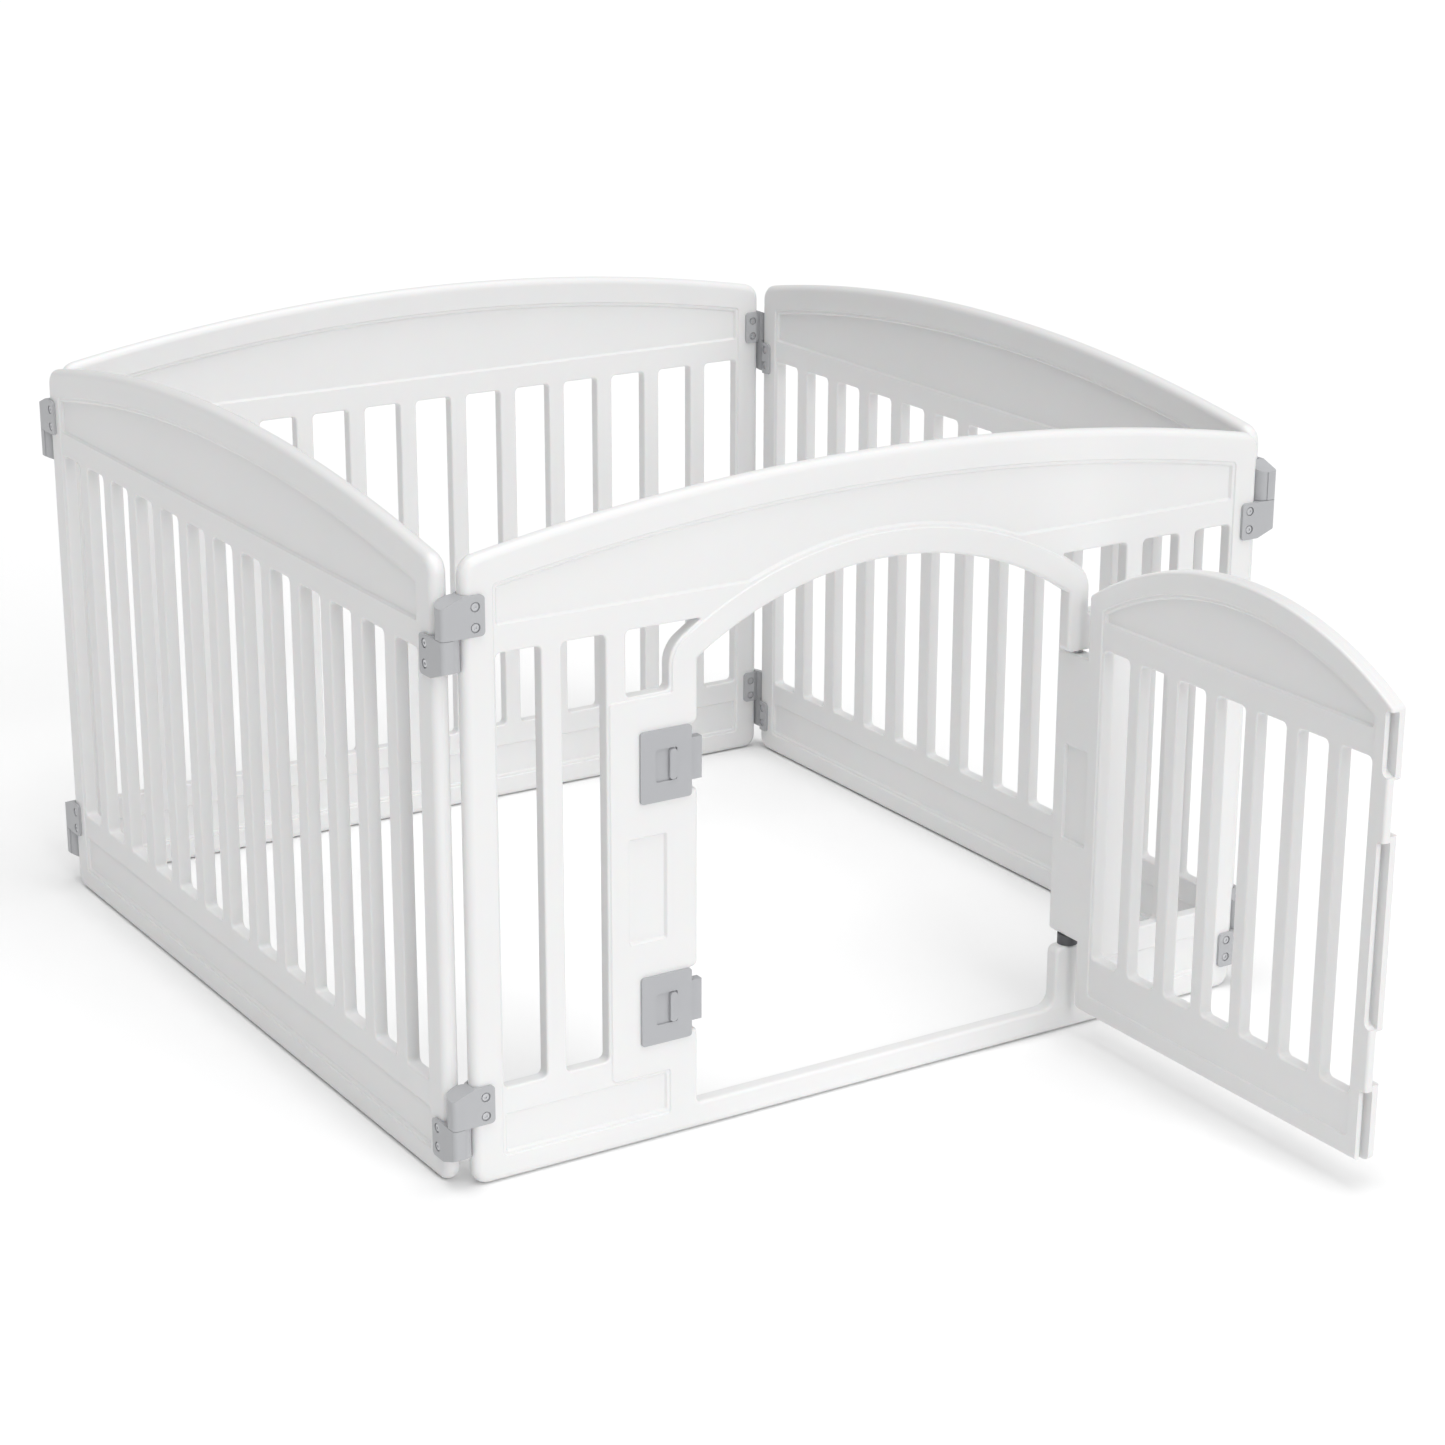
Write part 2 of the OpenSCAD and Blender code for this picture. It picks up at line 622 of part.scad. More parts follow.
lower_lock_plate();
upper_lock_bolt();
lower_lock_bolt();
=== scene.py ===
"""Looks of the folding pet playpen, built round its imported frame."""

import json
import logging
import math
from dataclasses import dataclass, field
from enum import Enum
from typing import Any, Iterable, Optional, Sequence

import bmesh
import bpy
from mathutils import Matrix, Vector
from mathutils.geometry import tessellate_polygon

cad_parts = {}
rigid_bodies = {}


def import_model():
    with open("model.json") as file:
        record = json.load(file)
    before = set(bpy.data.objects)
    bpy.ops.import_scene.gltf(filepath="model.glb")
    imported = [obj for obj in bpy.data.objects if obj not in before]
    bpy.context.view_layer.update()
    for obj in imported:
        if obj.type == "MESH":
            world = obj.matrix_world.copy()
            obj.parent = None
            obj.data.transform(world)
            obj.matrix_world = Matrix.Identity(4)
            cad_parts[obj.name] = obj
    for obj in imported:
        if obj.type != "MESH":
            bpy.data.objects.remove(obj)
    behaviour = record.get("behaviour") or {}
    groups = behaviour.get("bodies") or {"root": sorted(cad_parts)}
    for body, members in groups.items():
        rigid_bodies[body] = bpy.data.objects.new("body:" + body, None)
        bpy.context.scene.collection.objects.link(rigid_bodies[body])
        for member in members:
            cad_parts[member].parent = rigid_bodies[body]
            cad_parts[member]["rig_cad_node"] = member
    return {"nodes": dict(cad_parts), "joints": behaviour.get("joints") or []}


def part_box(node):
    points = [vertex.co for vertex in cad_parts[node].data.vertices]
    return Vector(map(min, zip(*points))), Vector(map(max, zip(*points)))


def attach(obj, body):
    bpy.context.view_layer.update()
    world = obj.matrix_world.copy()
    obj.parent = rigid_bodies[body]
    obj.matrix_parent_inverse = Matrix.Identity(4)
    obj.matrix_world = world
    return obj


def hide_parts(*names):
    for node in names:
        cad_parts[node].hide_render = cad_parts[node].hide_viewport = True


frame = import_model()
LOG = logging.getLogger("playpen")
MM = 0.001
RIM_STEPS = 7      # strips round a plate's rounded rim
MOUTH_STEPS = 5    # strips round an opening's rounded mouth
SLOPE_STEPS = 6    # strips down a soft step
CORNER_STEPS = 6   # chords of an arched outline's corner
BEVEL_STEPS = 3    # strips round a softened edge
BORE_STEPS = 40    # sides of a round bore
SEAM = (0.3, 0.5)  # depth and half width of the parting line, in mm
LOCKS = (128.5, 358.5)  # heights of the two locks' centres, in mm
Point = tuple[float, float]
Loop = list[Point]


# ---- flat outlines ----

def arc(cx: float, cz: float, r: float, start: float, end: float, steps: int) -> Loop:
    """Points of an arc.

    Args:
        cx: Centre, across, in mm.
        cz: Centre, up, in mm.
        r: Radius in mm.
        start: First angle in degrees.
        end: Last angle in degrees.
        steps: Number of chords.

    Returns:
        The points from the first angle to the last.
    """
    angles = [math.radians(start + (end - start) * i / steps) for i in range(steps + 1)]
    return [(cx + r * math.cos(a), cz + r * math.sin(a)) for a in angles]


def rounded(corners: Sequence[tuple[float, float, float]], steps: int = 5) -> Loop:
    """A closed outline with each corner rounded by its own radius.

    Args:
        corners: (across, up, radius) of each corner in mm; radius 0 keeps the point.
        steps: Number of chords in each rounding.

    Returns:
        The outline's points, in the order of the corners.
    """
    loop: Loop = []
    for i, (x, z, r) in enumerate(corners):
        if r <= 0:
            loop.append((x, z))
            continue
        here = Vector((x, z))
        back = (Vector(corners[i - 1][:2]) - here).normalized()
        ahead = (Vector(corners[(i + 1) % len(corners)][:2]) - here).normalized()
        half = back.angle(ahead) / 2
        centre = here + (back + ahead).normalized() * (r / math.sin(half))
        first = here + back * (r / math.tan(half)) - centre
        last = here + ahead * (r / math.tan(half)) - centre
        a0, a1 = math.atan2(first.y, first.x), math.atan2(last.y, last.x)
        turn = (a1 - a0 + math.pi) % (2 * math.pi) - math.pi
        loop += arc(centre.x, centre.y, r, math.degrees(a0), math.degrees(a0 + turn), steps)
    return loop


def box_outline(x0: float, z0: float, x1: float, z1: float, r: float) -> Loop:
    """A rectangle with rounded corners.

    Args:
        x0: Left edge in mm.
        z0: Lower edge in mm.
        x1: Right edge in mm.
        z1: Upper edge in mm.
        r: Corner radius in mm.

    Returns:
        Its outline, anticlockwise.
    """
    return rounded([(x0, z0, r), (x1, z0, r), (x1, z1, r), (x0, z1, r)])


def arched_outline(x0: float, x1: float, z0: float, top: float, big: float, r_top: float,
                   r_low: float, middle: float = 0.0, steps: int = 40) -> Loop:
    """An upright shape with an arched top whose corners run smoothly into the arch.

    Args:
        x0: Left edge in mm.
        x1: Right edge in mm.
        z0: Lower edge in mm.
        top: Height of the arch's crown in mm.
        big: Radius of the arch in mm.
        r_top: Radius of the two upper corners in mm.
        r_low: Radius of the two lower corners in mm.
        middle: Where the arch's crown stands, across, in mm.
        steps: Number of chords along the arch.

    Returns:
        The outline, anticlockwise from its lower left corner.
    """
    centre = top - big
    left, right = middle - x0 - r_top, x1 - r_top - middle
    z_left = centre + math.sqrt((big - r_top) ** 2 - left ** 2)
    z_right = centre + math.sqrt((big - r_top) ** 2 - right ** 2)
    a_left = 180 - math.degrees(math.atan2(z_left - centre, left))
    a_right = math.degrees(math.atan2(z_right - centre, right))
    return (arc(x0 + r_low, z0 + r_low, r_low, 180, 270, CORNER_STEPS)
            + arc(x1 - r_low, z0 + r_low, r_low, 270, 360, CORNER_STEPS)
            + arc(x1 - r_top, z_right, r_top, 0, a_right, CORNER_STEPS)[:-1]
            + arc(middle, centre, big, a_right, a_left, steps)
            + arc(x0 + r_top, z_left, r_top, a_left, 180, CORNER_STEPS)[1:])


def shifted(loop: Loop, out: float) -> Loop:
    """An outline moved sideways.

    Args:
        loop: An anticlockwise outline.
        out: How far it moves outwards in mm; negative moves it inwards.

    Returns:
        The moved outline, point for point.
    """
    result: Loop = []
    for i, (x, z) in enumerate(loop):
        before, after = Vector(loop[i - 1]), Vector(loop[(i + 1) % len(loop)])
        a, b = (Vector((x, z)) - before).normalized(), (after - Vector((x, z))).normalized()
        na, nb = Vector((a.y, -a.x)), Vector((b.y, -b.x))
        push = (na + nb) / max(0.3, 1 + na.dot(nb))
        result.append((x + out * push.x, z + out * push.y))
    return result


def tidy(loop: Loop, least: float = 0.02) -> Loop:
    """The outline without points that lie on the one before.

    Args:
        loop: An outline.
        least: Smallest distance kept between two points, in mm.

    Returns:
        The outline, anticlockwise.
    """
    kept = [p for i, p in enumerate(loop) if math.dist(p, loop[i - 1]) > least]
    area = sum(p[0] * q[1] - q[0] * p[1] for p, q in zip(kept, kept[1:] + kept[:1]))
    return kept if area > 0 else kept[::-1]


# ---- objects ----

def scene_object(name: str, data: Any) -> bpy.types.Object:
    """Puts a mesh, a light or a camera into the scene.

    Args:
        name: The new object's name.
        data: What it holds; a working mesh is turned into a plain one and freed.

    Returns:
        The object.
    """
    if isinstance(data, bmesh.types.BMesh):
        working, data = data, bpy.data.meshes.new(name)
        working.to_mesh(data)
        working.free()
    made = bpy.data.objects.new(name, data)
    bpy.context.scene.collection.objects.link(made)
    return made


# ---- moulded plates ----

@dataclass
class Edge:
    """A line on a plate along which its surface bends.

    Attributes:
        line: The outline in mm, anticlockwise.
        profile: (outward shift, depth under the rim) of each ring in mm.
    """

    line: Loop
    profile: list[tuple[float, float]]

    def rings(self) -> list[tuple[Loop, float]]:
        """Each ring's outline and its depth under the rim."""
        return [(shifted(self.line, out), depth) for out, depth in self.profile]


def rim_edge(line: Loop, half: float, r: float) -> Edge:
    """The rounded outer edge of a plate, with a fine parting line at its middle.

    Args:
        line: The plate's outline.
        half: Half the plate's thickness in mm.
        r: Radius of the rounding in mm.

    Returns:
        The edge, from the flat outwards.
    """
    turn = [(-r + r * math.sin(a), r - r * math.cos(a))
            for a in (math.radians(90 * i / RIM_STEPS) for i in range(RIM_STEPS + 1))]
    return Edge(line, turn + [(0.0, half - SEAM[1]), (-SEAM[0], half)])


def hole_edge(line: Loop, half: float, r: float, level: float) -> Edge:
    """The rounded mouth of an opening that goes through a plate.

    Args:
        line: The opening's outline.
        half: Half the plate's thickness in mm.
        r: Radius of the rounding in mm.
        level: Depth of the surface round it, under the rim, in mm.

    Returns:
        The edge, from the flat inwards.
    """
    turn = [(r - r * math.sin(a), level + r - r * math.cos(a))
            for a in (math.radians(90 * i / MOUTH_STEPS) for i in range(MOUTH_STEPS + 1))]
    return Edge(line, turn + [(0.0, half)])


def step_edge(line: Loop, upper: float, lower: float, width: float) -> Edge:
    """A soft step down from one level of a plate to a lower one.

    Args:
        line: The step's outline, at its upper edge.
        upper: Depth of the surface outside it in mm.
        lower: Depth of the surface inside it in mm.
        width: Width of the step in mm.

    Returns:
        The edge, from outside inwards.
    """
    turns = [i / SLOPE_STEPS for i in range(SLOPE_STEPS + 1)]
    return Edge(line, [(-width * t, upper + (lower - upper) * (1 - math.cos(math.pi * t)) / 2)
                       for t in turns])


class Plate:
    """A moulded plate that is the same on both faces, drawn in the XZ plane."""

    def __init__(self, half: float) -> None:
        """Starts an empty plate, half of whose thickness is given in mm."""
        self.half = half
        self.mesh = bmesh.new()

    def _ring(self, loop: Loop, depth: float, side: int) -> list[bmesh.types.BMVert]:
        """Adds a ring of points, depth mm under the rim of one side, and gives its vertices."""
        y = side * (self.half - depth)
        return [self.mesh.verts.new((x * MM, y * MM, z * MM)) for x, z in loop]

    def edge(self, edge: Edge, side: int) -> tuple[list, list]:
        """Adds the strips of one edge.

        Args:
            edge: The edge to add.
            side: -1 for the outer face, 1 for the inner one.

        Returns:
            The first and the last ring of vertices.
        """
        rings = [self._ring(loop, depth, side) for loop, depth in edge.rings()]
        for one, two in zip(rings, rings[1:]):
            for i in range(len(one)):
                self.mesh.faces.new((one[i - 1], one[i], two[i], two[i - 1]))
        return rings[0], rings[-1]

    def flat(self, outer: list, holes: Iterable[list]) -> None:
        """Fills a flat part of a face.

        Args:
            outer: The ring round it.
            holes: The rings it goes round.
        """
        loops = [outer, *holes]
        verts = [v for loop in loops for v in loop]
        flats = [[Vector((v.co.x, v.co.z, 0)) for v in loop] for loop in loops]
        for tri in tessellate_polygon(flats):
            if len(set(tri)) == 3:
                self.mesh.faces.new([verts[i] for i in tri])

    def build(self, name: str, place: Matrix) -> bpy.types.Object:
        """Closes the plate and puts it in its place.

        Args:
            name: The new object's name.
            place: Where the plate stands in the object's frame.

        Returns:
            The finished object.
        """
        bmesh.ops.remove_doubles(self.mesh, verts=self.mesh.verts, dist=1e-6)
        bmesh.ops.recalc_face_normals(self.mesh, faces=self.mesh.faces)
        bmesh.ops.transform(self.mesh, matrix=place, verts=self.mesh.verts)
        for face in self.mesh.faces:
            face.smooth = True
        loose = sum(1 for e in self.mesh.edges if not e.is_manifold)
        if loose:
            LOG.warning("%s has %d open edges", name, loose)
        return scene_object(name, self.mesh)


@dataclass
class Recess:
    """A shallow field in a plate's face, which may hold deeper ones and openings.

    Attributes:
        edge: The step at its outline.
        openings: Edges of the openings that go through it.
        inner: Deeper fields inside it.
    """

    edge: Edge
    openings: list[Edge] = field(default_factory=list)
    inner: list["Recess"] = field(default_factory=list)

    def add(self, plate: Plate, side: int) -> list:
        """Builds the field and everything in it.

        Args:
            plate: The plate it lies in.
            side: -1 for the outer face, 1 for the inner one.

        Returns:
            Its outermost ring of vertices.
        """
        outside, inside = plate.edge(self.edge, side)
        holes = [plate.edge(e, side)[0] for e in self.openings]
        holes += [r.add(plate, side) for r in self.inner]
        plate.flat(inside, holes)
        return outside


def plain_recess(x0: float, x1: float, z: float, half_height: float, depth: float,
                 slope: float, r: float) -> Recess:
    """A plain recess in a plate's rim level.

    Args:
        x0: Its left edge in mm.
        x1: Its right edge in mm.
        z: Height of its middle in mm.
        half_height: Half its height in mm.
        depth: Its depth in mm.
        slope: Width of the step down to it in mm.
        r: Its corner radius in mm.

    Returns:
        The recess.
    """
    line = box_outline(x0, z - half_height, x1, z + half_height, r)
    return Recess(step_edge(line, 0, depth, slope))


def make_plate(name: str, half: float, rim: Edge, openings: Sequence[Edge],
               recesses: Sequence[Recess], place: Matrix) -> bpy.types.Object:
    """Builds a moulded plate from its edges and fields.

    Args:
        name: The new object's name.
        half: Half its thickness in mm.
        rim: Its outer edge.
        openings: Openings at rim level.
        recesses: Fields below rim level.
        place: Where it stands.

    Returns:
        The plate's object.
    """
    plate = Plate(half)
    for side in (-1, 1):
        inner = plate.edge(rim, side)[0]
        holes = [plate.edge(e, side)[0] for e in openings]
        holes += [r.add(plate, side) for r in recesses]
        plate.flat(inner, holes)
    return plate.build(name, place)


# ---- shared tools ----

def linear(hex_code: str) -> tuple[float, float, float, float]:
    """The linear colour, with alpha 1, of an sRGB hex code such as "#F0F0EE"."""
    parts = [int(hex_code[i:i + 2], 16) / 255 for i in (1, 3, 5)]
    r, g, b = (c / 12.92 if c <= 0.04045 else ((c + 0.055) / 1.055) ** 2.4 for c in parts)
    return (r, g, b, 1.0)


def add_node(tree: bpy.types.NodeTree, kind: str, settings: Optional[dict[str, Any]] = None,
             inputs: Optional[dict[Any, Any]] = None) -> bpy.types.Node:
    """Adds a node with its settings, values and links.

    Args:
        tree: The node tree.
        kind: The node's type name.
        settings: Attributes to set on the node.
        inputs: Socket name or number to a value, or to the output socket that feeds it.

    Returns:
        The new node.
    """
    node = tree.nodes.new(kind)
    for key, value in (settings or {}).items():
        setattr(node, key, value)
    for key, value in (inputs or {}).items():
        if isinstance(value, bpy.types.NodeSocket):
            tree.links.new(value, node.inputs[key])
        else:
            node.inputs[key].default_value = value
    return node


def new_material(name: str) -> tuple[bpy.types.Material, bpy.types.NodeTree, Any]:
    """Starts a material.

    Args:
        name: Its name.

    Returns:
        The material, its empty node tree and the socket with a piece's own coordinates.
    """
    made = bpy.data.materials.new(name)
    made.use_nodes = True
    made.node_tree.nodes.clear()
    place = add_node(made.node_tree, "ShaderNodeTexCoord").outputs["Object"]
    return made, made.node_tree, place


def settle(piece: bpy.types.Object) -> None:
    """Turns a piece's modifiers into plain mesh."""
    graph = bpy.context.evaluated_depsgraph_get()
    data = bpy.data.meshes.new_from_object(piece.evaluated_get(graph))
    piece.modifiers.clear()
    piece.data = data


def cutter(points: Sequence[Vector], depth: Vector) -> bpy.types.Object:
    """A prism that cuts a pocket out of a piece.

    Args:
        points: Its outline in the object's frame, in metres.
        depth: From that outline to its other end.

    Returns:
        The prism's object, to be removed after the cut.
    """
    mesh = bmesh.new()
    face = mesh.faces.new([mesh.verts.new(p) for p in points])
    moved = bmesh.ops.extrude_face_region(mesh, geom=[face])
    bmesh.ops.translate(mesh, vec=depth,
                        verts=[g for g in moved["geom"] if isinstance(g, bmesh.types.BMVert)])
    bmesh.ops.recalc_face_normals(mesh, faces=mesh.faces)
    return scene_object("cutter", mesh)


def slab_cutter(place: Matrix, line: Loop, y0: float, y1: float) -> bpy.types.Object:
    """A cutter with an upright outline, between two depths of a panel.

    Args:
        place: The frame it is given in.
        line: Its outline in mm.
        y0: Its first depth in mm.
        y1: Its last depth in mm.

    Returns:
        The cutter's object.
    """
    return cutter([place @ (Vector((x, y0, z)) * MM) for x, z in line],
                  place.to_3x3() @ Vector((0, (y1 - y0) * MM, 0)))


def bore_cutter(place: Matrix, r: float, z0: float, z1: float) -> bpy.types.Object:
    """A round upright cutter about the frame's Z axis.

    Args:
        place: The frame it is given in.
        r: Its radius in mm.
        z0: Its lower end in mm.
        z1: Its upper end in mm.

    Returns:
        The cutter's object.
    """
    ring = [place @ (Vector((x, y, z0)) * MM) for x, y in arc(0, 0, r, 0, 360, BORE_STEPS)[:-1]]
    return cutter(ring, Vector((0, 0, (z1 - z0) * MM)))


def carve(piece: bpy.types.Object, tools: Sequence[bpy.types.Object], soften: float) -> None:
    """Cuts pockets out of a piece and softens their edges.

    Args:
        piece: The piece to cut.
        tools: The cutters, which are removed.
        soften: Width of the softened edges in mm.
    """
    for tool in tools:
        cut = piece.modifiers.new("pocket", "BOOLEAN")
        cut.operation, cut.solver, cut.object = "DIFFERENCE", "EXACT", tool
    settle(piece)
    for tool in tools:
        bpy.data.objects.remove(tool)
    soft_edges(piece, soften, 50)


def soft_edges(piece: bpy.types.Object, width: float, angle: float = 35) -> None:
    """Rounds a piece's sharp edges and evens out its shading.

    Args:
        piece: The piece.
        width: Width of the rounding in mm; 0 leaves the edges as they are.
        angle: Smallest angle between two faces whose edge is rounded, in degrees.
    """
    if width > 0:
        bevel = piece.modifiers.new("soft edges", "BEVEL")
        bevel.width, bevel.segments = width * MM, BEVEL_STEPS
        bevel.limit_method, bevel.angle_limit = "ANGLE", math.radians(angle)
        bevel.harden_normals = False
    even = piece.modifiers.new("even shading", "WEIGHTED_NORMAL")
    even.keep_sharp, even.weight = True, 60


def dress(piece: bpy.types.Object, material: bpy.types.Material) -> None:
    """Gives a piece its finish.

    Args:
        piece: The piece.
        material: Its material.
    """
    piece.data.materials.clear()
    piece.data.materials.append(material)


# ---- finishes ----

@dataclass(frozen=True)
class MouldedPlastic:
    """A moulded plastic whose skin carries the mould's fine grain.

    Attributes:
        name: The material's name.
        colour: Its colour, sRGB hex.
        shade: The colour of its slightly darker patches, sRGB hex.
        roughness: Middle roughness of its skin.
        grain_mm: Size of the mould's grain in mm.
        grain_height_mm: Height of that grain in mm.
        ripple_mm: Length of the slow waves that cooling leaves, in mm.
        ripple_height_mm: Height of those waves in mm.
        glow_mm: How far light spreads under the skin, in mm; 0 for none.
        ior: Its index of refraction.
        spread: How far its roughness varies, either way.
        glow: Share of the light that spreads under the skin.
    """

    name: str
    colour: str
    shade: str
    roughness: float
    grain_mm: float
    grain_height_mm: float
    ripple_mm: float
    ripple_height_mm: float
    glow_mm: float = 0.0
    ior: float = 1.5
    spread: float = 0.05
    glow: float = 0.12

    def material(self) -> bpy.types.Material:
        """Builds the material.

        Returns:
            The new material.
        """
        made, tree, place = new_material(self.name)
        cloud = add_node(tree, "ShaderNodeTexNoise", None, {
            "Vector": place, "Scale": 1 / (self.ripple_mm * 3 * MM), "Detail": 3.0})
        tint = add_node(tree, "ShaderNodeMix", {"data_type": "RGBA"}, {
            0: cloud.outputs["Fac"], 6: linear(self.shade), 7: linear(self.colour)})
        grain = add_node(tree, "ShaderNodeTexNoise", None, {
            "Vector": place, "Scale": 1 / (self.grain_mm * MM), "Detail": 2.0})
        ripple = add_node(tree, "ShaderNodeTexNoise", None, {
            "Vector": place, "Scale": 1 / (self.ripple_mm * MM), "Detail": 1.0})
        rough = add_node(tree, "ShaderNodeMapRange", None, {
            "Value": grain.outputs["Fac"], "To Min": self.roughness - self.spread,
            "To Max": self.roughness + self.spread})
        waves = add_node(tree, "ShaderNodeBump", None, {
            "Height": ripple.outputs["Fac"], "Distance": self.ripple_height_mm * MM,
            "Strength": 0.6})
        skin = add_node(tree, "ShaderNodeBump", None, {
            "Height": grain.outputs["Fac"], "Distance": self.grain_height_mm * MM,
            "Strength": 0.5, "Normal": waves.outputs["Normal"]})
        shader = add_node(tree, "ShaderNodeBsdfPrincipled", None, {
            "Base Color": tint.outputs[2], "Roughness": rough.outputs[0],
            "Normal": skin.outputs["Normal"], "IOR": self.ior})
        if self.glow_mm > 0:
            shader.inputs["Subsurface Weight"].default_value = self.glow
            shader.inputs["Subsurface Scale"].default_value = self.glow_mm * MM
        add_node(tree, "ShaderNodeOutputMaterial", None, {"Surface": shader.outputs[0]})
        return made


@dataclass(frozen=True)
class TurnedSteel:
    """Plain or zinc-plated steel with the fine rings that turning leaves.

    Attributes:
        name: The material's name.
        colour: Its colour, sRGB hex.
        dull: The colour of its duller patches, sRGB hex.
        roughness: Middle roughness.
        ring_mm: Spacing of the turning marks in mm.
        ring_height_mm: Height of those marks in mm.
        spread: How far its roughness varies, either way.
    """

    name: str
    colour: str
    dull: str
    roughness: float
    ring_mm: float
    ring_height_mm: float = 0.02
    spread: float = 0.08

    def material(self) -> bpy.types.Material:
        """Builds the material.

        Returns:
            The new material.
        """
        made, tree, place = new_material(self.name)
        marks = add_node(tree, "ShaderNodeTexNoise", None, {
            "Vector": place, "Scale": 1 / (self.ring_mm * MM), "Detail": 4.0})
        tint = add_node(tree, "ShaderNodeMix", {"data_type": "RGBA"}, {
            0: marks.outputs["Fac"], 6: linear(self.dull), 7: linear(self.colour)})
        rough = add_node(tree, "ShaderNodeMapRange", None, {
            "Value": marks.outputs["Fac"], "To Min": self.roughness - self.spread,
            "To Max": self.roughness + self.spread})
        skin = add_node(tree, "ShaderNodeBump", None, {
            "Height": marks.outputs["Fac"], "Distance": self.ring_height_mm * MM,
            "Strength": 0.4})
        shader = add_node(tree, "ShaderNodeBsdfPrincipled", None, {
            "Base Color": tint.outputs[2], "Metallic": 1.0, "Roughness": rough.outputs[0],
            "Normal": skin.outputs["Normal"]})
        add_node(tree, "ShaderNodeOutputMaterial", None, {"Surface": shader.outputs[0]})
        return made


class Finish(Enum):
    """The finishes of the pen's pieces."""

    # Blow-moulded polyethylene: a satin white skin, a fine matt grain and slow waves where the
    # hollow wall shrank, which keep its highlights soft and slightly uneven.
    PANEL = MouldedPlastic("white_blow_moulded_polyethylene", "#E8E8E8", "#E4E4E4", 0.42,
                           0.9, 0.03, 45.0, 0.12, 2.0, 1.52)
    # Injection-moulded polypropylene: an even cool grey with a slightly tighter shine.
    HINGE = MouldedPlastic("grey_moulded_polypropylene_hinge", "#B4B5B7", "#AFB0B3", 0.38,
                           0.7, 0.03, 18.0, 0.04, 0.0, 1.49)
    LOCK = MouldedPlastic("grey_moulded_polypropylene_lock", "#B1B2B5", "#ACADB0", 0.4,
                          0.7, 0.03, 18.0, 0.04, 0.0, 1.49)
    # Acetal spacer in the knuckle's gap: a matt, nearly black grey that paints the shade falling
    # in that gap, and holds one small soft highlight.
    SPACER = MouldedPlastic("dark_grey_acetal", "#58595C", "#505154", 0.5,
                            0.6, 0.02, 10.0, 0.02, 0.0, 1.48)
    # Zinc-plated steel: pale, with a satin shine broken up by the plating's grain.
    SCREW = TurnedSteel("zinc_plated_steel", "#D5D6D8", "#B9BABD", 0.34, 0.5)
    # Drawn steel rod: a darker, plainer metal.
    PIN = TurnedSteel("drawn_steel_rod", "#B4B5B8", "#9C9DA0", 0.3, 0.4)

    def made(self) -> bpy.types.Material:
        """The finish's material, built once."""
        return bpy.data.materials.get(self.value.name) or self.value.material()


# ---- sizes read from the frame ----

@dataclass(frozen=True)
class PenSizes:
    """The pen's main sizes in mm.

    Attributes:
        half: Half a panel's thickness.
        end: Half a panel's length.
        height: Height at the crown.
        axis: Distance of a corner's hinge axis from the middle of its panel.
        hinge_x: Place of the door's hinge axis.
    """

    half: float
    end: float
    height: float
    axis: float
    hinge_x: float

    @staticmethod
    def read() -> "PenSizes":
        """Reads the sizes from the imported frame."""
        low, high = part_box("front_panel")
        joints = {j["name"]: j for j in frame["joints"]}
        return PenSizes(half=(high.y - low.y) / 2 / MM, end=(high.x - low.x) / 2 / MM,
                        height=high.z / MM, axis=joints["right_fold"]["pos_m"][0] / MM,
                        hinge_x=joints["door_swing"]["pos_m"][0] / MM)


class Side(Enum):
    """The pen's four sides, by quarter turns from the front."""

    FRONT = 0
    RIGHT = 1
    BACK = 2
    LEFT = 3

    def place(self, sizes: PenSizes) -> Matrix:
        """Where a panel drawn as the front one stands on this side."""
        out = Matrix.Translation((0, sizes.axis * MM, 0))
        turn = Matrix.Rotation(math.radians(90 * self.value), 4, "Z")
        return out @ turn @ Matrix.Translation((0, -sizes.axis * MM, 0))


# ---- wall panels ----

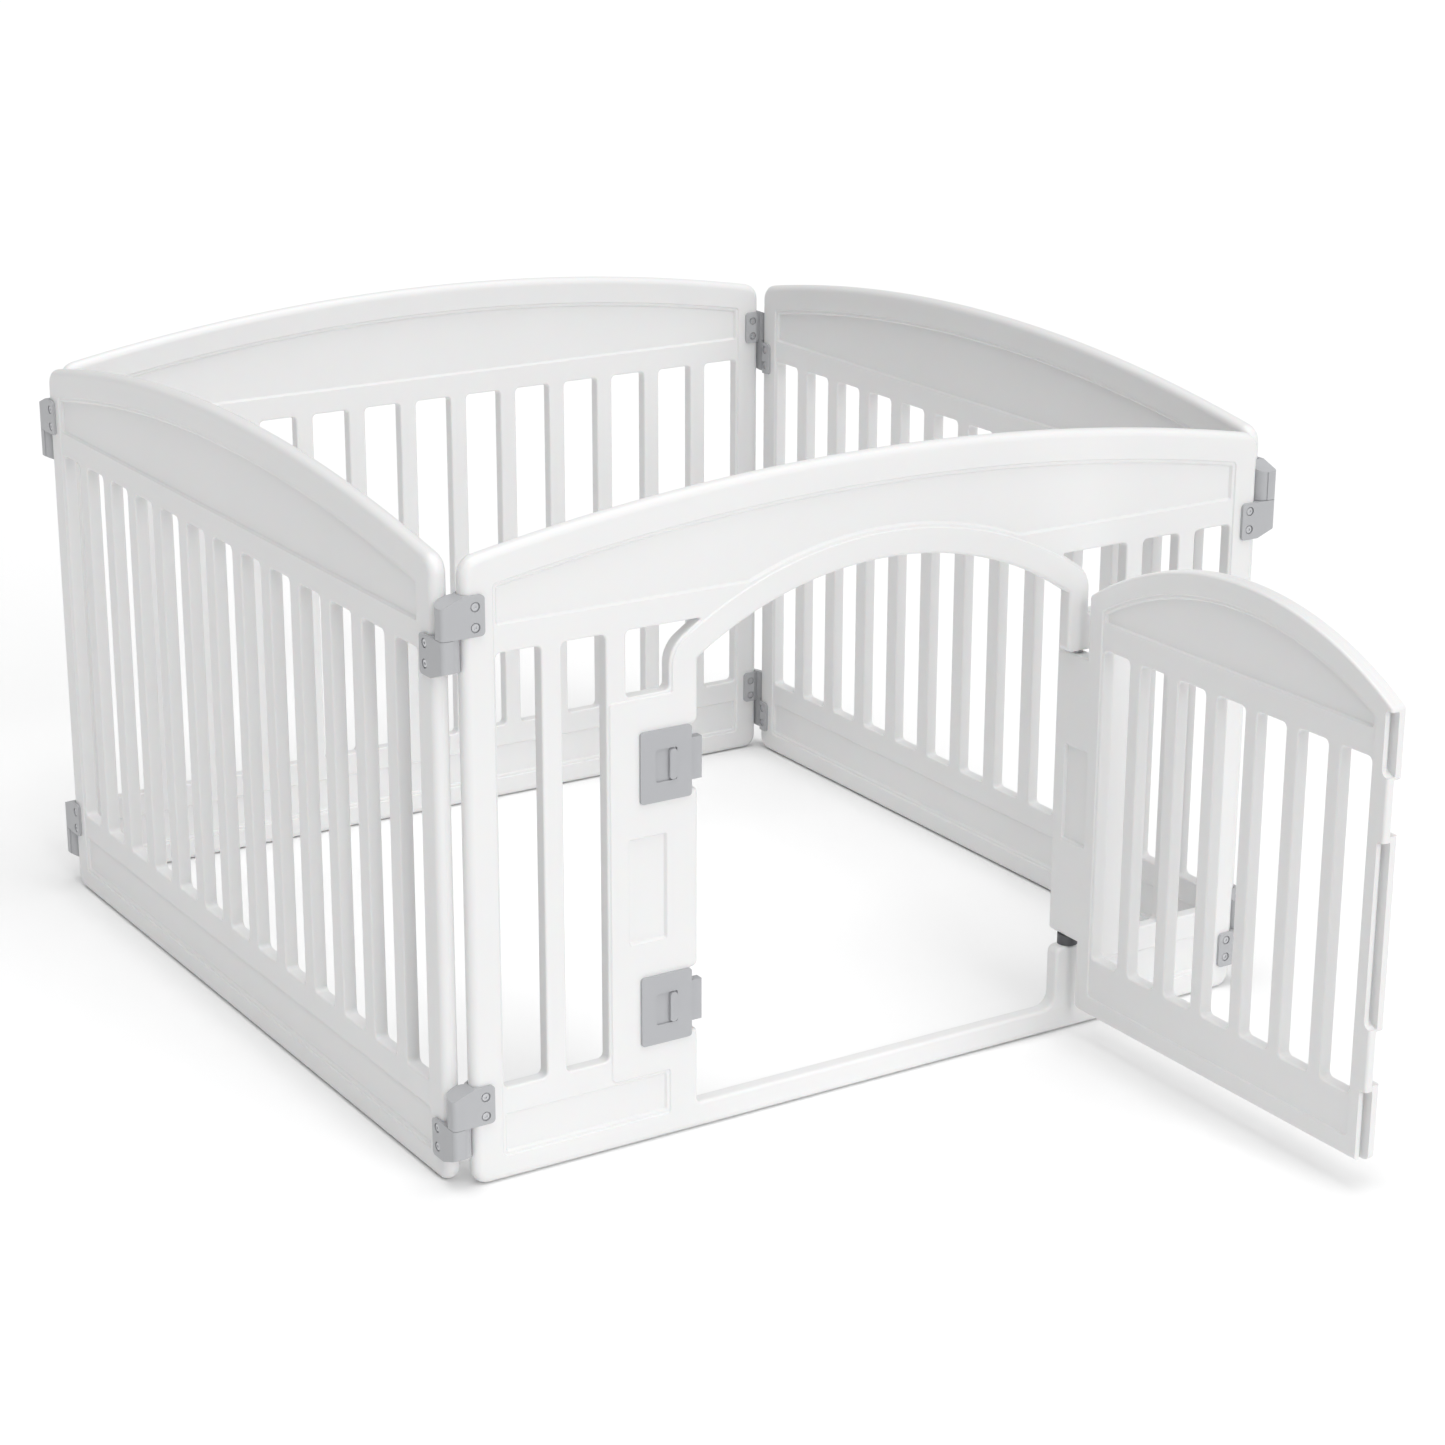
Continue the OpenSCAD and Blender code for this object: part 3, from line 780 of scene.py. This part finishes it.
@dataclass
class WallPanel:
    """A slatted wall panel with an arched top.

    Attributes:
        sizes: The pen's main sizes.
        side: The side of the pen it stands on.
        arch_r: Radius of its arched top in mm.
        rim: Width of the plain rim in mm.
        top_corner: Radius of its top corners in mm.
        foot_corner: Radius of its bottom corners in mm.
        edge_r: Rounding of its outer edge in mm.
        slots: Number of slots.
        bar: Width of the bar between two slots in mm.
        slot_z: Lower and upper end of the slots in mm.
        slot_r: Corner radius of a slot in mm.
        recess_z: Lower edge of the arched recess in mm.
        kick_z: Lower and upper edge of the kick recess in mm.
        ledge: Width of the slatted field's border round its recesses in mm.
        depths: Depth of the field, the arched recess and the kick recess in mm.
        slopes: Width of the steps down to those three in mm.
        field_r: Corner radius of the field in mm.
        recess_r: Corner radius of the recesses in mm.
        mouth_r: Rounding of a slot's mouth in mm.
    """

    sizes: PenSizes
    side: Side
    arch_r: float = 2265.0
    rim: float = 31.0
    top_corner: float = 18.0
    foot_corner: float = 15.0
    edge_r: float = 7.6
    slots: int = 13
    bar: float = 19.8
    slot_z: tuple[float, float] = (88.0, 485.0)
    slot_r: float = 5.0
    recess_z: float = 509.0
    kick_z: tuple[float, float] = (26.0, 64.0)
    ledge: float = 3.4
    depths: tuple[float, float, float] = (1.4, 4.2, 3.4)
    slopes: tuple[float, float, float] = (1.7, 3.0, 2.4)
    field_r: float = 5.0
    recess_r: float = 3.0
    mouth_r: float = 2.0

    @property
    def field_half(self) -> float:
        """Half the slatted field's width in mm."""
        return self.sizes.end - self.rim

    @property
    def slot_w(self) -> float:
        """Width of a slot in mm."""
        return (2 * self.field_half - (self.slots - 1) * self.bar) / self.slots

    def slot_x(self, i: int) -> float:
        """Left edge of slot number i in mm."""
        return -self.field_half + i * (self.slot_w + self.bar)

    def outline(self) -> Loop:
        """The panel's outline in mm."""
        return tidy(arched_outline(-self.sizes.end, self.sizes.end, 0, self.sizes.height,
                                   self.arch_r, self.top_corner, self.foot_corner))

    def slot(self, i: int) -> Edge:
        """The edge of slot number i."""
        x = self.slot_x(i)
        line = box_outline(x, self.slot_z[0], x + self.slot_w, self.slot_z[1], self.slot_r)
        return hole_edge(line, self.sizes.half, self.mouth_r, self.depths[0])

    def arched_recess(self, line: Optional[Loop] = None) -> Recess:
        """The deeper field under the arched top, whose outline may differ from the plain one."""
        line = tidy(line or self.recess_line())
        return Recess(step_edge(line, self.depths[0], self.depths[1], self.slopes[1]))

    def recess_line(self) -> Loop:
        """Outline of the plain arched recess in mm."""
        return arched_outline(-self.field_half, self.field_half, self.recess_z,
                              self.sizes.height - self.rim, self.arch_r - self.rim,
                              self.recess_r, self.recess_r)

    def kick_recess(self, x0: float, x1: float) -> Recess:
        """The long low field at the foot of the panel, from x0 to x1 mm."""
        line = box_outline(x0, self.kick_z[0], x1, self.kick_z[1], self.recess_r)
        return Recess(step_edge(line, self.depths[0], self.depths[2], self.slopes[2]))

    def field_outline(self) -> Loop:
        """Outline of the slatted field with its border in mm."""
        e, h = self.ledge, self.field_half
        return tidy(arched_outline(-h - e, h + e, self.kick_z[0] - e,
                                   self.sizes.height - self.rim + e,
                                   self.arch_r - self.rim + e, self.field_r, self.field_r))

    def grid(self, openings: list[Edge], inner: list[Recess]) -> Recess:
        """The slatted field, with the slots' edges and the recesses inside it."""
        edge = step_edge(self.field_outline(), 0, self.depths[0], self.slopes[0])
        return Recess(edge, openings, inner)

    def build(self) -> bpy.types.Object:
        """Builds and dresses the panel.

        Returns:
            The panel's object.
        """
        name = self.side.name.lower()
        grid = self.grid([self.slot(i) for i in range(self.slots)],
                         [self.arched_recess(),
                          self.kick_recess(-self.field_half, self.field_half)])
        rim = rim_edge(self.outline(), self.sizes.half, self.edge_r)
        panel = make_plate(f"{name}_wall", self.sizes.half, rim, [], [grid],
                           self.side.place(self.sizes))
        soft_edges(panel, 0)
        dress(panel, Finish.PANEL.made())
        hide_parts(f"{name}_panel")
        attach(panel, name)
        LOG.info("%s wall built", name)
        return panel


@dataclass
class FrontWall(WallPanel):
    """The front panel, with its doorway, raised stiles and lock pockets.

    Attributes:
        open_half: Half width of the doorway at the lock jamb in mm.
        stub_x: Doorway side of the hinge stubs in mm.
        sill: Height of the sill in mm.
        open_top: Height of the doorway's crown in mm.
        open_r: Radius of the doorway's arch in mm.
        band: Width of the raised band over the doorway in mm.
        stile_top: Height of the raised stiles in mm.
        gap_x: Far side of the knuckle's gap in mm.
        gap_z: Lower and upper end of the knuckle's gap in mm.
        locks: Heights of the two locks' centres in mm.
        setback: The jamb's set-back at a lock: depth, lower and upper end, in mm.
        door_radii: Corner radii at the sill's left, its right, a stub and the gap, in mm.
        setback_radii: Corner radii of a set-back: upper, the two inner ones, lower, in mm.
        door_mouth_r: Rounding of the doorway's edge in mm.
        post_r: Rounding where the raised band turns down into a stile in mm.
        step_r: Corner radius of the raised stiles' outline in mm.
        short_gap: Height of a short slot's foot over the stile in mm.
        kick_in: Reach of a kick recess's inner end past the doorway in mm.
        plain: The left stile's plain recess: width, half height, depth and step width, in mm.
        channel: A lock bolt's channel: left end, right end, inner side, half height, in mm.
        channel_r: Softened edges of the channels in mm.
    """

    open_half: float = 202.0
    stub_x: float = 207.0
    sill: float = 26.0
    open_top: float = 510.5
    open_r: float = 365.0
    band: float = 27.0
    stile_top: float = 421.5
    gap_x: float = 249.0
    gap_z: tuple[float, float] = (88.0, 387.0)
    locks: tuple[float, float] = LOCKS
    setback: tuple[float, float, float] = (8.0, -28.0, 32.0)
    door_radii: tuple[float, float, float, float] = (5.0, 14.0, 7.0, 3.0)
    setback_radii: tuple[float, float, float] = (5.5, 2.0, 4.0)
    door_mouth_r: float = 3.4
    post_r: float = 30.0
    step_r: float = 3.5
    short_gap: float = 3.5
    kick_in: float = 31.5
    plain: tuple[float, float, float, float] = (40.0, 50.5, 3.4, 2.6)
    channel: tuple[float, float, float, float] = (-260.3, -206.0, 0.6, 19.9)
    channel_r: float = 0.8

    @property
    def arch_z(self) -> float:
        """Height of the doorway arch's centre in mm."""
        return self.open_top - self.open_r

    def on_band(self, x: float, r: float) -> float:
        """Height in mm at which a circle of radius r about the arch's centre passes x."""
        return self.arch_z + math.sqrt(r * r - x * x)

    def doorway(self) -> Edge:
        """The doorway's edge, with the stubs, the knuckle's gap and the locks' set-backs."""
        left, right = -self.open_half, self.stub_x
        turn = [math.degrees(math.acos(x / self.open_r)) for x in (right, left)]
        (r_left, r_right, r_stub, r_gap), (gap_low, gap_high) = self.door_radii, self.gap_z
        corners = [(left, self.sill, r_left), (right, self.sill, r_right),
                   (right, gap_low, r_stub), (self.gap_x, gap_low, r_gap),
                   (self.gap_x, gap_high, r_gap), (right, gap_high, r_stub)]
        corners += [(x, z, 0) for x, z in arc(0, self.arch_z, self.open_r, *turn, 48)]
        (back, low, high), (r_high, r_back, r_low) = self.setback, self.setback_radii
        for z in reversed(self.locks):
            corners += [(left, z + high, r_high), (left - back, z + high, r_back),
                        (left - back, z + low, r_back), (left, z + low, r_low)]
        return hole_edge(tidy(rounded(corners)), self.sizes.half, self.door_mouth_r, 0)

    def short_slot(self, side: int) -> Edge:
        """The flared short slot over a stile.

        Args:
            side: -1 for the left stile, 1 for the right one.

        Returns:
            The slot's edge.
        """
        outer = self.slot_x(2)
        inner = outer + self.slot_w
        z0, z1, r = self.stile_top + self.short_gap, self.slot_z[1], self.open_r + self.band
        tip = math.sqrt(r * r - (z1 - self.arch_z) ** 2)
        line = rounded([(outer, z0, self.slot_r), (inner, z0, self.slot_r),
                        (inner, self.on_band(inner, r), self.post_r),
                        (-tip - 1.0, z1, 1.0), (outer, z1, self.slot_r)], 7)
        line = [(x * -side, z) for x, z in line]
        return hole_edge(tidy(line), self.sizes.half, self.mouth_r, self.depths[0])

    def field_outline(self) -> Loop:
        """Outline of the field round the raised band and stiles in mm."""
        e, h, k, far = self.ledge, self.field_half, self.kick_z, self.field_r
        r, c, feet = self.open_r + self.band - e, self.step_r, 2 * (CORNER_STEPS + 1)
        stile = -(self.slot_x(1) + self.slot_w + e)
        post = -(self.slot_x(2) + self.slot_w + e)
        kick = self.open_half + self.kick_in - e
        right = [(kick, k[0] - e, c), (h + e, k[0] - e, far)]
        # The arched outline's first points are its two lower corners, which the steps replace.
        top = arched_outline(-h - e, h + e, 0, self.sizes.height - self.rim + e,
                             self.arch_r - self.rim + e, far, far)[feet:]
        left = [(-h - e, k[0] - e, far), (-kick, k[0] - e, c), (-kick, k[1] + e, c),
                (-stile, k[1] + e, c), (-stile, self.stile_top, c), (-post, self.stile_top, c)]
        a = math.degrees(math.acos(post / r))
        band = [(x, z, self.post_r if abs(x) > post - 0.1 else 0)
                for x, z in arc(0, self.arch_z, r, 180 - a, a, 30)]
        back = [(post, self.stile_top, c), (stile, self.stile_top, c),
                (stile, k[1] + e, c), (kick, k[1] + e, c)]
        return tidy(rounded(right + [(x, z, 0) for x, z in top] + left + band + back))

    def recess_outline(self) -> Loop:
        """Outline of the arched recess over the raised band in mm."""
        r, tip_r, foot = self.open_r + self.band, 2.5, CORNER_STEPS + 1
        x = math.sqrt(r * r - (self.recess_z - self.arch_z) ** 2)
        a = math.degrees(math.acos(x / r))
        top = [(px, pz, 0) for px, pz in self.recess_line()]
        band = [(px, pz, 0) for px, pz in arc(0, self.arch_z, r, 180 - a, a, 30)[1:-1]]
        # The band rises between the plain outline's lower left corner and its lower right one.
        return tidy(rounded(top[:foot] + [(-x, self.recess_z, tip_r)]
                            + band + [(x, self.recess_z, tip_r)] + top[foot:]))

    def build(self) -> bpy.types.Object:
        """Builds and dresses the front panel.

        Returns:
            The panel's object.
        """
        half, h = self.sizes.half, self.field_half
        kick = self.open_half + self.kick_in
        slots = [self.slot(i) for i in (0, 1, self.slots - 2, self.slots - 1)]
        slots += [self.short_slot(-1), self.short_slot(1)]
        grid = self.grid(slots, [self.arched_recess(self.recess_outline()),
                                 self.kick_recess(-h, -kick), self.kick_recess(kick, h)])
        width, *plain = self.plain
        stile = plain_recess(-kick - width, -kick, sum(self.locks) / 2 + 1, *plain, self.recess_r)
        place = self.side.place(self.sizes)
        panel = make_plate("front_wall", half, rim_edge(self.outline(), half, self.edge_r),
                           [self.doorway()], [grid, stile], place)
        x0, x1, inside, up = self.channel
        tools = [slab_cutter(place, [(x0, z - up), (x1, z - up), (x1, z + up), (x0, z + up)],
                             -half - 3, inside) for z in self.locks]
        carve(panel, tools, self.channel_r)
        dress(panel, Finish.PANEL.made())
        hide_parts("front_panel")
        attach(panel, "front")
        LOG.info("front wall built")
        return panel


@dataclass
class SwingDoor:
    """The slatted door, drawn from its hinge axis towards its free edge.

    Attributes:
        sizes: The pen's main sizes.
        turn: The door's angle from closed, as stored, in degrees.
        end: Reach of the free edge in mm.
        body_x: Hinge edge of the door's leaf in mm.
        foot: Lower edge in mm.
        crown: Height of the arched top in mm.
        arch_r: Radius of that arch in mm.
        knuckle: The knuckle's reach behind the axis, its lower and its upper end, in mm.
        field_x: Left and right end of the slatted field in mm.
        slots: Number of slots.
        bar: Width of the bar between two slots in mm.
        slot_z: Lower and upper end of the slots in mm.
        recess_z: Lower edge of the arched recess in mm.
        field_z: Lower edge of the slatted field in mm.
        rim: Width of the rim over the recess in mm.
        locks: Heights of the two locks' centres in mm.
        edge_r: Rounding of its outer edge in mm.
        ledge: Width of the slatted field's border round the slots and the recess in mm.
        field_arch_r: Radius of the arched recess's top in mm.
        depths: Depth of the field and the arched recess in mm.
        slopes: Width of the steps down to those two in mm.
        radii: Corner radii of the field, a slot and a recess in mm.
        mouth_r: Rounding of a slot's mouth in mm.
        plain: The knuckle's plain recess: edges, half height, depth and step width, in mm.
        bore: Radius and depth of a pivot's bore in mm.
        edge_gap: Lower and upper end of a lock's full-width stretch of the edge, from the
            lock's centre, and the step's upper end, under the crown, in mm.
        edge_step: Width of the free edge's step, its lower and its upper corner radius in mm.
        groove: The step's groove: width, outer side, inner side and shortening in mm.
        notch: A bolt's notch: reach, lower and upper end, its floor's depth in mm.
        soften: Softened edges of all of these in mm.
    """

    sizes: PenSizes
    turn: float = 90.0
    end: float = 427.0
    body_x: float = 24.0
    foot: float = 30.0
    crown: float = 507.5
    arch_r: float = 362.0
    knuckle: tuple[float, float, float] = (-20.0, 98.4, 384.0)
    field_x: tuple[float, float] = (46.0, 405.0)
    slots: int = 7
    bar: float = 15.8
    slot_z: tuple[float, float] = (88.0, 398.0)
    recess_z: float = 423.5
    field_z: float = 51.0
    rim: float = 24.0
    locks: tuple[float, float] = LOCKS
    edge_r: float = 2.8
    ledge: float = 3.4
    field_arch_r: float = 356.0
    depths: tuple[float, float] = (1.4, 4.2)
    slopes: tuple[float, float] = (1.7, 2.6)
    radii: tuple[float, float, float] = (5.0, 5.0, 3.0)
    mouth_r: float = 2.0
    plain: tuple[float, float, float, float, float] = (-6.0, 30.0, 49.0, 3.4, 2.6)
    bore: tuple[float, float] = (4.05, 28.0)
    edge_gap: tuple[float, float, float] = (-31.5, 27.0, 64.0)
    edge_step: tuple[float, float, float] = (7.5, 6.5, 1.0)
    groove: tuple[float, float, float, float] = (10.5, -3.6, 0.3, 1.5)
    notch: tuple[float, float, float, float] = (18.5, -26.5, 22.0, -0.8)
    soften: float = 1.3

    def outline(self) -> Loop:
        """The door's outline with its knuckle in mm."""
        (back, low, high), r_top, r_low, r_lug = self.knuckle, 5, 6, 4
        leaf = arched_outline(self.body_x, self.end, self.foot, self.crown, self.arch_r,
                              r_top, r_low, self.sizes.hinge_x)
        lug = rounded([(self.body_x, high, 0), (back, high, r_lug), (back, low, r_lug),
                       (self.body_x, low, 0)])
        return tidy(leaf + lug)

    def fields(self) -> list[Recess]:
        """The slatted field with its arched recess, and the knuckle's plain recess."""
        (x0, x1), e, mid = self.field_x, self.ledge, self.sizes.hinge_x
        (shallow, deep), (slope, deep_slope) = self.depths, self.slopes
        field_r, slot_r, recess_r = self.radii
        width = (x1 - x0 - (self.slots - 1) * self.bar) / self.slots
        starts = [x0 + i * (width + self.bar) for i in range(self.slots)]
        slots = [hole_edge(box_outline(x, self.slot_z[0], x + width, self.slot_z[1], slot_r),
                           self.sizes.half, self.mouth_r, shallow) for x in starts]
        crown, r = self.crown - self.rim, self.field_arch_r
        arch = arched_outline(x0, x1, self.recess_z, crown, r, recess_r, recess_r, mid)
        border = arched_outline(x0 - e, x1 + e, self.field_z - e, crown + e, r + e,
                                field_r, field_r, mid)
        recess = Recess(step_edge(tidy(arch), shallow, deep, deep_slope))
        left, right, *plain = self.plain
        return [Recess(step_edge(tidy(border), 0, shallow, slope), slots, [recess]),
                plain_recess(left, right, sum(self.locks) / 2 + 1, *plain, recess_r)]

    def build(self) -> bpy.types.Object:
        """Builds and dresses the door.

        Returns:
            The door's object.
        """
        half = self.sizes.half
        place = (Matrix.Translation((self.sizes.hinge_x * MM, 0, 0))
                 @ Matrix.Rotation(math.radians(180 + self.turn), 4, "Z"))
        door = make_plate("door_leaf", half, rim_edge(self.outline(), half, self.edge_r), [],
                          self.fields(), place)
        carve(door, self.pockets(place), self.soften)
        dress(door, Finish.PANEL.made())
        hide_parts("door_panel")
        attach(door, "door")
        LOG.info("door built")
        return door

    def pockets(self, place: Matrix) -> list[bpy.types.Object]:
        """Cutters for the pivots' bores, the free edge's steps and the bolts' notches.

        Args:
            place: Where the door stands.

        Returns:
            The cutters.
        """
        half, tip, (_, low, high) = self.sizes.half, self.end, self.knuckle
        (r, deep), past, beyond, start = self.bore, 1.0, 20.0, self.foot - 60
        tools = [bore_cutter(place, r, low - past, low + deep),
                 bore_cutter(place, r, high - deep, high + past)]
        (below, above), (gap_low, gap_high, top) = self.locks, self.edge_gap
        width, r_low, r_high = self.edge_step
        for z0, z1 in ((start, below + gap_low), (below + gap_high, above + gap_low),
                       (above + gap_high, self.crown - top)):
            for back, y0, y1, less in ((width, -half - past, 0.0, 0.0), self.groove):
                line = rounded([(tip - back, z0 + less, r_low), (tip + beyond, z0 + less, 0),
                                (tip + beyond, z1 - less, 0), (tip - back, z1 - less, r_high)])
                tools.append(slab_cutter(place, line, y0, y1))
        reach, low, high, floor = self.notch
        for z in self.locks:
            # The notch flares over its upper end, where the lip runs out into the edge.
            line = rounded([(tip - reach, z + low, 1), (tip - 1, z + low, 0),
                            (tip + 2, z + low - 0.5, 0), (tip + 2, z + high + 5, 0),
                            (tip, z + high + 4, 0), (tip - 4.5, z + high, 3),
                            (tip - reach, z + high, 1)])
            tools.append(slab_cutter(place, line, floor, floor + half + 2))
        return tools


# ---- hinges and locks ----

@dataclass
class Hardware:
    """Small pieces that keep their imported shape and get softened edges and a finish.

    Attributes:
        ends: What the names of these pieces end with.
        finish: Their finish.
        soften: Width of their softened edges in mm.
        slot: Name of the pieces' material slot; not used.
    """

    ends: tuple[str, ...]
    finish: Finish
    soften: float
    slot: str

    def build(self) -> int:
        """Dresses the pieces.

        Returns:
            How many pieces were dressed.
        """
        found = [o for n, o in frame["nodes"].items() if n.endswith(self.ends)]
        for piece in found:
            soft_edges(piece, self.soften, 28)
            for face in piece.data.polygons:
                face.use_smooth = True
            dress(piece, self.finish.made())
        LOG.info("%d pieces in %s", len(found), self.finish.value.name)
        return len(found)


# ---- studio ----

@dataclass
class Studio:
    """The floor, the light and the camera.

    Attributes:
        camera_at: The camera's place in metres.
        heading: Its heading from +Y towards +X in degrees.
        pitch: How far it looks down in degrees.
        roll: Its roll in degrees.
        lens: Focal length in mm on a 36 mm sensor.
        sky: Strength of the even light from all round.
        lights: Name, direction, width in degrees and strength of each softbox.
        floor_r: Radius of the floor in metres.
        floor_z: Height of the floor in metres, just under the panels' feet.
    """

    camera_at: tuple[float, float, float] = (-1.6259, -2.2999, 1.2879)
    heading: float = 32.308
    pitch: float = 18.396
    roll: float = 0.175
    lens: float = 80.98
    sky: float = 0.27
    lights: tuple[tuple[str, tuple[float, float, float], float, float], ...] = (
        ("front softbox", (-0.06, 0.85, -0.40), 40, 1.22),
        ("overhead softbox", (0.05, 0.1, -1), 60, 2.05))
    floor_r: float = 60.0
    floor_z: float = -0.0004

    def camera(self) -> None:
        """Makes the camera."""
        data = bpy.data.cameras.new("camera")
        data.lens, data.sensor_width = self.lens, 36.0
        data.clip_start, data.clip_end = 0.05, 200.0
        camera = scene_object("camera", data)
        camera.matrix_world = (Matrix.Translation(self.camera_at)
                               @ Matrix.Rotation(math.radians(-self.heading), 4, "Z")
                               @ Matrix.Rotation(math.radians(90 - self.pitch), 4, "X")
                               @ Matrix.Rotation(math.radians(self.roll), 4, "Z"))
        bpy.context.scene.camera = camera

    def sun(self, name: str, towards: Sequence[float], spread: float, strength: float) -> None:
        """Adds a wide, even light, like a large softbox far away.

        Args:
            name: The light's name.
            towards: The direction it shines in.
            spread: Its width seen from the object, in degrees.
            strength: Its strength in watts a square metre.
        """
        data = bpy.data.lights.new(name, "SUN")
        data.angle, data.energy = math.radians(spread), strength
        light = scene_object(name, data)
        light.rotation_euler = Vector(towards).to_track_quat("-Z", "Y").to_euler()

    def floor(self) -> None:
        """Makes the plain pale floor."""
        mesh = bmesh.new()
        bmesh.ops.create_circle(mesh, cap_ends=True, segments=96, radius=self.floor_r)
        ground = scene_object("floor", mesh)
        ground.location.z = self.floor_z
        made = bpy.data.materials.new("pale_studio_paper")
        made.use_nodes = True
        shader = made.node_tree.nodes["Principled BSDF"]
        shader.inputs["Base Color"].default_value = linear("#FAFAFA")
        shader.inputs["Roughness"].default_value = 0.9
        shader.inputs["Specular IOR Level"].default_value = 0.0
        ground.data.materials.append(made)

    def build(self) -> None:
        """Sets the whole studio up."""
        self.camera()
        self.floor()
        world = bpy.data.worlds.new("studio")
        world.use_nodes = True
        around = world.node_tree.nodes["Background"]
        around.inputs["Color"].default_value = linear("#FFFFFF")
        around.inputs["Strength"].default_value = self.sky
        bpy.context.scene.world = world
        for light in self.lights:
            self.sun(*light)
        bpy.context.scene.view_settings.view_transform = "Standard"
        LOG.info("studio set up")


def main() -> None:
    """Builds every piece in order."""
    logging.basicConfig(level=logging.INFO, format="%(name)s: %(message)s")
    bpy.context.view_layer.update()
    sizes = PenSizes.read()
    FrontWall(sizes, Side.FRONT).build()
    for side in (Side.RIGHT, Side.BACK, Side.LEFT):
        WallPanel(sizes, side).build()
    SwingDoor(sizes).build()
    for group in (Hardware(("_leaf",), Finish.HINGE, 0.9, "hinge"),
                  Hardware(("_plate", "_bolt"), Finish.LOCK, 0.7, "lock"),
                  # The spacers' nearly black finish paints the shade in the knuckle's gaps.
                  Hardware(("_spacer",), Finish.SPACER, 0.6, "spacer"),
                  Hardware(("_screws", "_nuts"), Finish.SCREW, 0.35, "screw"),
                  Hardware(("_pin",), Finish.PIN, 0.4, "pin")):
        group.build()
    Studio().build()


if __name__ == "__main__":
    main()
